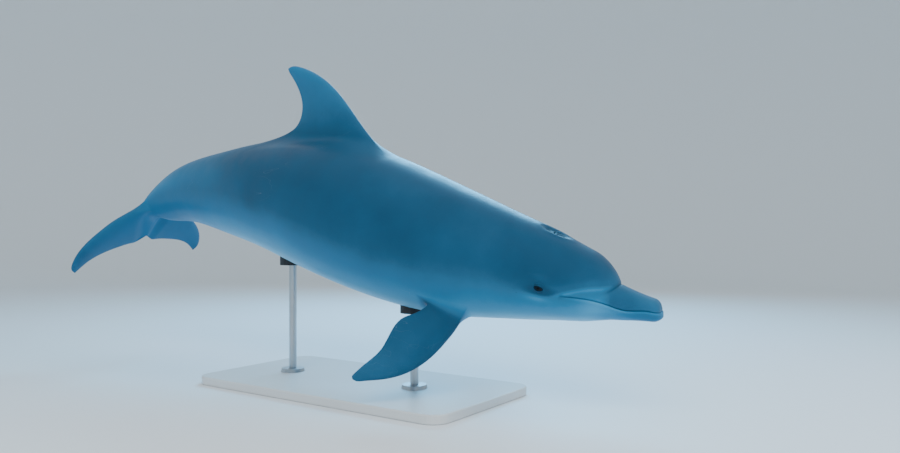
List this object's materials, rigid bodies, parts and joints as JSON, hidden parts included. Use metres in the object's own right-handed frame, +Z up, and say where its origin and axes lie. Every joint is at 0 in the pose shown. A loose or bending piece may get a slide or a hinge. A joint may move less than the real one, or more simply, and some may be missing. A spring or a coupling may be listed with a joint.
{
  "type": "bottlenose dolphin display model",
  "caption": "Life-size still model of a bottlenose dolphin gliding head down with its tail bent under, held over a flat base by short rods.",
  "frame": {"origin": "middle of the underside of the stand's base, on the floor", "axes": "+X towards the animal's head, +Y to its left, +Z up"},
  "size_m": [2.4291, 0.7972, 1.1603],
  "materials": {
    "skin": "smooth wet skin, dark blue-grey above and pale blue-grey below",
    "eye": "polished, nearly black",
    "stand_board": "satin pale grey lacquer",
    "stand_steel": "brushed",
    "stand_pad": "matt"
  },
  "bodies": {
    "root": {"upper_jaw": "skin", "lower_jaw": "skin", "head": "skin", "neck": "skin", "trunk_front": "skin", "trunk_rear": "skin", "tail_stock_front": "skin", "tail_stock_rear": "skin", "dorsal_fin": "skin", "flipper_right": "skin", "flipper_left": "skin", "fluke_right": "skin", "fluke_left": "skin", "eye_right": "eye", "eye_left": "eye", "stand_base": "stand_board", "stand_collar_front": "stand_steel", "stand_rod_front": "stand_steel", "stand_pad_front": "stand_pad", "stand_collar_rear": "stand_steel", "stand_rod_rear": "stand_steel", "stand_pad_rear": "stand_pad"}
  },
  "joints": []
}
